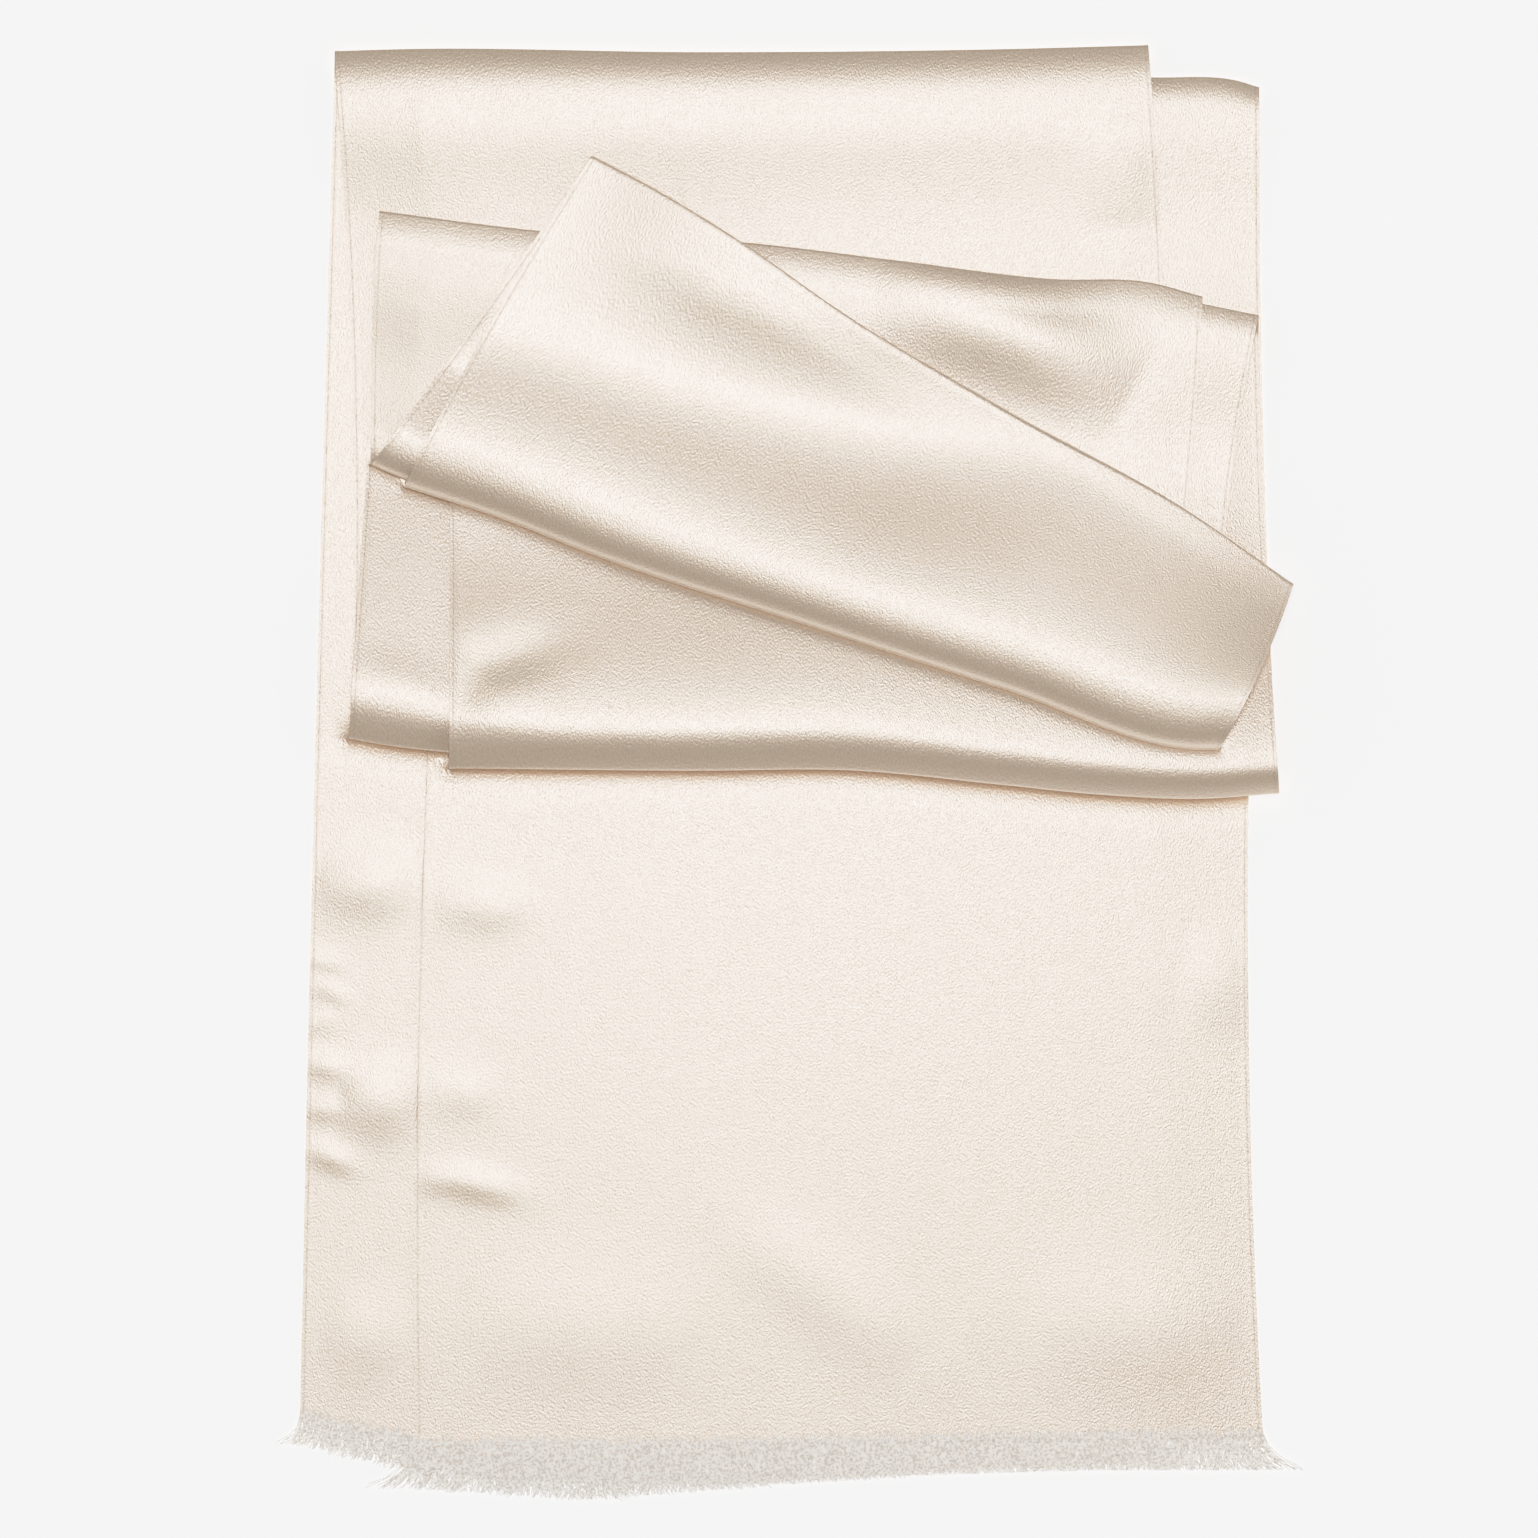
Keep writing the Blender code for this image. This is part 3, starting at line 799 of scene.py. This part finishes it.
def cloth_mesh(name, middle, outward, creased, shift):
    """A closed thin shell round a grid of positions, with a map of its place on the flat cloth."""
    rows, columns = middle.shape[:2]
    half_wall = outward * WALLS[:, None] / 2
    sheet = middle + shift
    sides = [(sheet + half_wall).reshape(-1, 3), (sheet - half_wall).reshape(-1, 3)]
    points = np.concatenate(sides)
    number = np.arange(rows * columns).reshape(rows, columns)
    top = quad_corners(number).reshape(-1, 4)[:, ::-1]
    under = quad_corners(number).reshape(-1, 4) + rows * columns
    rim = np.concatenate([number[0], number[1:, -1], number[-1, -2::-1], number[-2::-1, 0]])
    below = rim + rows * columns
    side = np.stack([rim[:-1], rim[1:], below[1:], below[:-1]], axis=1)
    faces = np.concatenate([top, under, side[:, ::-1]])
    mesh = bpy.data.meshes.new(name)
    mesh.from_pydata((points * MILLIMETRE).tolist(), [], faces.tolist())
    steps = np.linalg.norm(np.diff(middle, axis=0), axis=-1).mean(axis=1)
    along = np.concatenate([[0.0], np.cumsum(steps)])
    place = np.dstack(np.meshgrid(COLUMNS * CLOTH_WIDTH, along)).reshape(-1, 2) * MILLIMETRE
    place = np.concatenate([place, place])
    layer = mesh.uv_layers.new(name="cloth")
    layer.uv.foreach_set("vector", place[faces.ravel()].astype(np.float32).ravel())
    crease = mesh.attributes.new(name="crease", type="FLOAT_VECTOR", domain="POINT")
    crease.data.foreach_set("vector", np.tile(creased.ravel(), 2).astype(np.float32))
    mesh.shade_smooth()
    mesh.set_sharp_from_angle(angle=math.radians(SHARP_ANGLE))
    mesh.update()
    return mesh


def fringe_lengths(half, across):
    known = np.linspace(0.0, 1.0, len(half.fringe))
    return np.interp(across, known, half.fringe)


def tubes(paths, radii):
    """Points and faces of three-sided threads along paths of positions, closed at both ends."""
    count, rings = paths.shape[:2]
    way = unit(np.gradient(paths, axis=1))
    side = unit(np.cross(way, [0.0, 0.0, 1.0]) + NUDGE)
    up = np.cross(side, way)
    points = []
    for corner in range(THREAD_CORNERS):
        angle = 2 * np.pi * corner / THREAD_CORNERS - np.pi / 2
        offset = side * np.cos(angle) + up * np.sin(angle)
        points.append(paths + offset * radii[..., None])
    points = np.stack(points, axis=2).reshape(-1, 3)
    number = np.arange(count * rings * THREAD_CORNERS).reshape(count, rings, THREAD_CORNERS)
    faces = []
    for corner in range(THREAD_CORNERS):
        beside = (corner + 1) % THREAD_CORNERS
        ring, last = number[:, :-1], number[:, 1:]
        quads = [ring[..., beside], ring[..., corner], last[..., corner], last[..., beside]]
        faces.extend(np.stack(quads, axis=-1).reshape(-1, 4).tolist())
    faces.extend(number[:, 0].tolist())
    faces.extend(number[:, -1, ::-1].tolist())
    return points, faces


def edge_at(edge, across):
    """Positions on a fringed edge, at these fractions across the cloth."""
    return np.column_stack([np.interp(across, COLUMNS, edge[:, axis]) for axis in range(3)])


def loose_threads(half, edge, below, chance):
    """The paths and radii of the threads along a fringed edge."""
    count = THREADS.count
    across = np.clip((np.arange(count) + chance.uniform(0, 1, count)) / count, 0.0, 1.0)
    at = edge_at(edge, across)
    spread = 1 + LENGTH_SPREAD * chance.normal(0, 1, count).clip(LEAST_SPREAD, MOST_SPREAD)
    drift = CLUMP_DRIFT * np.sin(across * CLUMP_DRIFT_TURNS)
    clump = 0.5 + 0.5 * np.sin(across * CLUMP_TURNS + drift)
    length = fringe_lengths(half, across) * spread * (CLUMPED_LENGTH + CLUMP_EXTRA * clump)
    inset = THREADS.inset * chance.uniform(0, 1, count) ** INSET_POWER
    share = np.linspace(0.0, 1.0, THREADS.segments + 1)[None, :]
    leans = LEANS[half.name]
    ends = np.abs(2 * across - 1) ** LEAN_POWER
    lean = np.where(across < 0.5, -leans.left, leans.right) * ends
    lean = lean + LEAN_SPREAD * chance.normal(0, 1, count)
    fast = np.sin(across * LEAN_TURNS[0])
    slow = np.sin(across * LEAN_TURNS[1] + LEAN_PHASE)
    lean = lean + LEAN_WAVE * fast * slow
    curl = THREADS.curl * chance.normal(0, 1, (count, THREADS.segments + 1)) * share
    down = (length + inset)[:, None] * share
    x = at[:, :1] + lean[:, None] * down * share + curl
    y = at[:, 1:2] + inset[:, None] - down
    rest = below + OVER_FLOOR + chance.uniform(0, 1, count)[:, None] * THREADS.lift
    lift = TIP_LIFT * np.abs(chance.normal(0, 1, count))[:, None] * share**TIP_LIFT_POWER
    lift = lift * chance.uniform(0, TIP_LIFT_MOST, count)[:, None]
    over = at[:, 2:] + WALL / 2 + OVER_CLOTH
    off_cloth = np.clip((down - inset[:, None] + STEP_DOWN / 2) / STEP_DOWN, 0.0, 1.0)
    rest = np.maximum(rest, THREADS.root_radius + LEAST_OVER_FLOOR)
    z = over * (1 - off_cloth) + rest * off_cloth + lift
    taper = THREADS.tip_radius - THREADS.root_radius
    return np.dstack([x, y, z]), THREADS.root_radius + taper * np.repeat(share, count, 0)


def cross_threads(edge, below, chance):
    """The paths of the last cross threads, which run across the cloth among the loose ones."""
    steps = int(CLOTH_WIDTH / CROSS_STEP)
    paths = []
    for index in range(CROSS_THREADS):
        line = edge_at(edge, np.linspace(0.0, 1.0, steps))
        wander = CROSS_WANDER * np.cumsum(chance.normal(0, CROSS_WANDER, steps))
        line[:, 1] -= CROSS_SPACING * (index + 0.5) + wander
        bob = np.where(np.arange(steps) % 2 == 0, CROSS_OVER, CROSS_UNDER)
        uneven = CROSS_SPREAD * chance.normal(0, 1, steps)
        line[:, 2] = np.maximum(line[:, 2], below) + CROSS_LIFT + bob + uneven
        paths.append(line)
    return np.array(paths)


def fringe_mesh(name, half, edge, shift, seed):
    """The loose threads along a fringed edge, and the last few cross threads among them."""
    chance = np.random.default_rng(seed)
    below = FRINGE_FLOORS[half.name]
    points, faces = tubes(*loose_threads(half, edge, below, chance))
    paths = cross_threads(edge, below, chance)
    more, extra = tubes(paths, np.full(paths.shape[:2], CROSS_RADIUS))
    faces = faces + [[corner + len(points) for corner in face] for face in extra]
    points = np.concatenate([points, more]) + shift
    mesh = bpy.data.meshes.new(name)
    mesh.from_pydata((points * MILLIMETRE).tolist(), [], faces)
    mesh.update()
    return mesh


def add_piece(name, mesh, material, nodes):
    mesh.materials.append(material)
    piece = bpy.data.objects.new(name, mesh)
    bpy.context.scene.collection.objects.link(piece)
    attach(piece, "root")
    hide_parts(*nodes)
    return piece


# The sockets of a Mix node for colours, which share their names with those for other kinds.
MIX_FIRST = 6
MIX_SECOND = 7
MIX_RESULT = 2

# The satin's grain is a fine noise, as the yarn's is. It is stretched along the cloth's two
# ways and turned.
NOISE_DETAIL = 2.0
GRAIN_SCALE = (1900.0, 1300.0, 1.0)
GRAIN_ANGLE = 27.0
GRAIN_HEIGHT = 0.1
SATIN_STOPS = ((0.3, (0.71, 0.54, 0.375, 1.0)), (0.7, (0.91, 0.71, 0.515, 1.0)))
SATIN_ROUGHNESS = 0.31
GROOVE_ROUGHNESS = 0.36
# The groove's darker colour is painted shade, standing for the thin shadow line along a hem's edge.
GROOVE_PAINTED_SHADE = (0.86, 0.85, 0.83, 1.0)
SATIN_SOCKETS = {
    "IOR": 2.45,
    "Specular IOR Level": 1.0,
    "Specular Tint": (1.0, 0.88, 0.80, 1.0),
    "Sheen Weight": 1.0,
    "Sheen Roughness": 0.5,
    "Sheen Tint": (1.0, 0.95, 0.88, 1.0),
}

# The yarn is greyer towards its tips.
YARN_STOPS = ((0.4, (0.58, 0.525, 0.46, 1.0)), (0.6, (1.0, 0.95, 0.88, 1.0)))
YARN_NOISE_SCALE = 1350.0
YARN_GREY = (0.88, 0.90, 0.94, 1.0)
YARN_GREY_FROM = 0.9
YARN_GREY_TO = 0.1
# The emission is painted light: the yarn glows faintly in its own colour, standing in for light
# scattered among the threads.
YARN_SOCKETS_WITH_PAINTED_GLOW = {
    "Emission Strength": 0.195,
    "Roughness": 0.5,
    "IOR": 2.2,
    "Specular IOR Level": 1.0,
    "Specular Tint": (1.0, 0.93, 0.86, 1.0),
}

FLOOR_SIZE = 6.0
FLOOR_DEPTH = 0.0002
FLOOR_SOCKETS = {
    "Base Color": (0.87, 0.87, 0.87, 1.0),
    "Roughness": 0.9,
    "Specular IOR Level": 0.2,
    "Emission Color": (1.0, 1.0, 1.0, 1.0),
    "Emission Strength": 0.72,
}


def set_sockets(node, values):
    for name, value in values.items():
        node.inputs[name].default_value = value


def new_material(name):
    """A material, with its nodes, its links and its shader."""
    material = bpy.data.materials.new(name)
    material.use_nodes = True
    tree = material.node_tree
    return material, tree.nodes, tree.links, tree.nodes["Principled BSDF"]


def map_range(nodes, start, end, low, high):
    """A node that turns start into low and end into high."""
    node = nodes.new("ShaderNodeMapRange")
    set_sockets(node, {"From Min": start, "From Max": end, "To Min": low, "To Max": high})
    return node


def arithmetic(nodes, operation):
    node = nodes.new("ShaderNodeMath")
    node.operation = operation
    return node


def noise_tint(nodes, links, vector, scale, stops):
    """A fine noise and a ramp of colours that follows it."""
    grain = nodes.new("ShaderNodeTexNoise")
    set_sockets(grain, {"Scale": scale, "Detail": NOISE_DETAIL})
    links.new(vector, grain.inputs["Vector"])
    tint = nodes.new("ShaderNodeValToRGB")
    for element, (position, colour) in zip(tint.color_ramp.elements, stops):
        element.position = position
        element.color = colour
    links.new(grain.outputs["Fac"], tint.inputs["Fac"])
    return grain, tint


def multiplied(nodes, links, factor, colour, by):
    """A colour that is multiplied by another one as far as the factor says."""
    node = nodes.new("ShaderNodeMix")
    node.data_type = "RGBA"
    node.blend_type = "MULTIPLY"
    links.new(factor, node.inputs["Factor"])
    links.new(colour, node.inputs[MIX_FIRST])
    node.inputs[MIX_SECOND].default_value = by
    return node.outputs[MIX_RESULT]


def dip_by(nodes, links, distance):
    """A value that is -1 where a distance is 0, and fades with it on both sides."""
    for operation in ("ABSOLUTE", "MULTIPLY", "EXPONENT", "MULTIPLY"):
        step = arithmetic(nodes, operation)
        links.new(distance, step.inputs[0])
        if operation == "MULTIPLY":
            step.inputs[1].default_value = -1.0
        distance = step.outputs["Value"]
    return distance


def satin_material():
    material, nodes, links, shader = new_material("ivory_satin")
    place = nodes.new("ShaderNodeUVMap")
    place.uv_map = "cloth"
    stretch = nodes.new("ShaderNodeMapping")
    turn = (0.0, 0.0, math.radians(GRAIN_ANGLE))
    set_sockets(stretch, {"Scale": GRAIN_SCALE, "Rotation": turn})
    links.new(place.outputs["UV"], stretch.inputs["Vector"])
    grain, tint = noise_tint(nodes, links, stretch.outputs["Vector"], 1.0, SATIN_STOPS)
    away = nodes.new("ShaderNodeAttribute")
    away.attribute_name = "crease"
    parts = nodes.new("ShaderNodeSeparateXYZ")
    links.new(away.outputs["Vector"], parts.inputs["Vector"])
    crease_dip = dip_by(nodes, links, parts.outputs["X"])
    groove_dip = dip_by(nodes, links, parts.outputs["Z"])
    dulled = map_range(nodes, 0.0, -1.0, SATIN_ROUGHNESS, GROOVE_ROUGHNESS)
    links.new(groove_dip, dulled.inputs["Value"])
    links.new(dulled.outputs["Result"], shader.inputs["Roughness"])
    # Along the hem's groove the base colour is darkened: painted shade for the shadow line at the
    # hem.
    share = arithmetic(nodes, "ABSOLUTE")
    links.new(groove_dip, share.inputs[0])
    share = share.outputs["Value"]
    base_with_painted_groove_shade = multiplied(nodes, links, share, tint.outputs["Color"], GROOVE_PAINTED_SHADE)
    links.new(base_with_painted_groove_shade, shader.inputs["Base Color"])
    scaled = arithmetic(nodes, "MULTIPLY")
    links.new(crease_dip, scaled.inputs[0])
    links.new(parts.outputs["Y"], scaled.inputs[1])
    dipped = arithmetic(nodes, "MULTIPLY_ADD")
    links.new(groove_dip, dipped.inputs[0])
    dipped.inputs[1].default_value = HEM_GROOVE.height
    links.new(scaled.outputs["Value"], dipped.inputs[2])
    crease = nodes.new("ShaderNodeBump")
    set_sockets(crease, {"Distance": MILLIMETRE})
    links.new(dipped.outputs["Value"], crease.inputs["Height"])
    bump = nodes.new("ShaderNodeBump")
    set_sockets(bump, {"Distance": GRAIN_HEIGHT * MILLIMETRE})
    links.new(grain.outputs["Fac"], bump.inputs["Height"])
    links.new(crease.outputs["Normal"], bump.inputs["Normal"])
    links.new(bump.outputs["Normal"], shader.inputs["Normal"])
    set_sockets(shader, SATIN_SOCKETS)
    return material


def yarn_material():
    material, nodes, links, shader = new_material("ivory_fringe_yarn")
    where = nodes.new("ShaderNodeTexCoord")
    place = where.outputs["Object"]
    tint = noise_tint(nodes, links, place, YARN_NOISE_SCALE, YARN_STOPS)[1]
    axes = nodes.new("ShaderNodeSeparateXYZ")
    links.new(where.outputs["Generated"], axes.inputs["Vector"])
    fade = map_range(nodes, YARN_GREY_FROM, YARN_GREY_TO, 0.0, 1.0)
    links.new(axes.outputs["Y"], fade.inputs["Value"])
    share = fade.outputs["Result"]
    greyed = multiplied(nodes, links, share, tint.outputs["Color"], YARN_GREY)
    links.new(greyed, shader.inputs["Base Color"])
    # The yarn's colour is also its emission: a painted glow.
    links.new(greyed, shader.inputs["Emission Color"])
    set_sockets(shader, YARN_SOCKETS_WITH_PAINTED_GLOW)
    return material


def add_floor():
    bpy.ops.mesh.primitive_plane_add(size=FLOOR_SIZE, location=(0.0, 0.0, -FLOOR_DEPTH))
    floor = bpy.context.object
    floor.name = "floor"
    material, _, _, shader = new_material("pale_floor")
    set_sockets(shader, FLOOR_SOCKETS)
    floor.data.materials.append(material)


# A wide soft lamp hangs overhead, a little to the far side.
LAMP_PLACE = (-0.03, 0.29, 4.0)
LAMP_WIDTH = 1.4
LAMP_LENGTH = 1.5
LAMP_POWER = 43.2

# The sky is dim, brighter low on the near side, and bright low down on all other sides. The parts
# fade by one coordinate of the way to the sky each, from the first value to the last.
Fade = namedtuple("Fade", "start end first last")
NEAR_SKY = Fade(-0.97, -0.71, 1.4, 0.13)
LOW_SKY = Fade(0.36, 0.58, 0.9, 0.0)
OFF_NEAR_SIDE = Fade(-0.96, -0.66, 0.0, 1.0)


def add_lamp():
    light = bpy.data.lights.new("overhead", "AREA")
    light.shape = "ELLIPSE"
    light.size = LAMP_WIDTH
    light.size_y = LAMP_LENGTH
    light.energy = LAMP_POWER
    lamp = bpy.data.objects.new("overhead", light)
    lamp.location = LAMP_PLACE
    bpy.context.scene.collection.objects.link(lamp)


def add_sky():
    world = bpy.data.worlds.new("studio")
    world.use_nodes = True
    nodes, links = world.node_tree.nodes, world.node_tree.links
    way = nodes.new("ShaderNodeTexCoord")
    axes = nodes.new("ShaderNodeSeparateXYZ")
    links.new(way.outputs["Generated"], axes.inputs["Vector"])
    parts = []
    for axis, fade in (("Y", NEAR_SKY), ("Z", LOW_SKY), ("Y", OFF_NEAR_SIDE)):
        part = map_range(nodes, *fade)
        part.interpolation_type = "SMOOTHSTEP"
        links.new(axes.outputs[axis], part.inputs["Value"])
        parts.append(part.outputs["Result"])
    near, low, off_near_side = parts
    held = arithmetic(nodes, "MULTIPLY")
    links.new(low, held.inputs[0])
    links.new(off_near_side, held.inputs[1])
    both = arithmetic(nodes, "ADD")
    links.new(near, both.inputs[0])
    links.new(held.outputs["Value"], both.inputs[1])
    background = nodes["Background"]
    links.new(both.outputs["Value"], background.inputs["Strength"])
    set_sockets(background, {"Color": (1.0, 1.0, 1.0, 1.0)})
    bpy.context.scene.world = world


# The camera's response to linear light: straight up to the knee, and past it a soft shoulder.
KNEE = 0.5
SHOULDER = 0.56
BRIGHTEST = 2.0
RESPONSE_STEPS = 8
RESPONSE_CROWDING = 1.5
COMBINED = 3


def set_response():
    settings = bpy.context.scene.view_settings
    settings.view_transform = "Standard"
    settings.use_curve_mapping = True
    mapping = settings.curve_mapping
    mapping.clip_max_x = BRIGHTEST
    mapping.clip_max_y = BRIGHTEST
    curve = mapping.curves[COMBINED]
    curve.points[0].location = (0.0, 0.0)
    curve.points[1].location = (KNEE, KNEE)
    for step in range(1, RESPONSE_STEPS + 1):
        light = KNEE + (BRIGHTEST - KNEE) * (step / RESPONSE_STEPS) ** RESPONSE_CROWDING
        curve.points.new(light, KNEE + SHOULDER * (1 - math.exp((KNEE - light) / SHOULDER)))
    mapping.update()


# The photograph's frame, and the pixel over the point that the tables measure from.
FRAME_PIXELS = 1538
PIXEL = 0.30
MIDDLE_COLUMN = 791
MIDDLE_ROW = 773
CAMERA_HEIGHT = 3000.0
SENSOR_WIDTH = 36.0


def add_camera(shift):
    """A camera straight above, whose frame is the photograph's."""
    camera = bpy.data.cameras.new("camera")
    camera.sensor_width = SENSOR_WIDTH
    camera.lens = SENSOR_WIDTH * CAMERA_HEIGHT / (FRAME_PIXELS * PIXEL)
    holder = bpy.data.objects.new("camera", camera)
    centre_x = (FRAME_PIXELS / 2 - MIDDLE_COLUMN) * PIXEL
    centre_y = (MIDDLE_ROW - FRAME_PIXELS / 2) * PIXEL
    place = Vector((centre_x + shift[0], centre_y + shift[1], CAMERA_HEIGHT))
    holder.location = place * MILLIMETRE
    bpy.context.scene.collection.objects.link(holder)
    bpy.context.scene.camera = holder


def solid_shift():
    """How far the solids lie from the tables' own origin, in millimetres."""
    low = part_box("left_half_stretch_1")[0]
    edge = np.array(LEFT.folds[0].line)
    return np.array([low[0] / MILLIMETRE - edge[0, 0], low[1] / MILLIMETRE - edge[:, 1].min(), 0.0])


shift = solid_shift()
satin, yarn = satin_material(), yarn_material()
cloths, fringes = {}, {}
for half, stretches in zip((LEFT, RIGHT), lay_scarf().values()):
    middle = np.concatenate([stretch[0] for stretch in stretches])
    outward = np.concatenate([stretch[1] for stretch in stretches])
    creased = np.concatenate([stretch[2] for stretch in stretches])
    nodes = [f"{half.name}_stretch_{number}" for number in range(1, STRETCHES + 1)]
    mesh = cloth_mesh(f"{half.name}_cloth", middle, outward, creased, shift)
    cloths[half.name] = add_piece(mesh.name, mesh, satin, nodes)
    seed = FRINGE_SEED + len(fringes)
    mesh = fringe_mesh(f"{half.name}_threads", half, middle[0], shift, seed)
    fringes[half.name] = add_piece(mesh.name, mesh, yarn, [f"{half.name}_fringe"])
add_floor()
add_lamp()
add_sky()
set_response()
add_camera(shift)
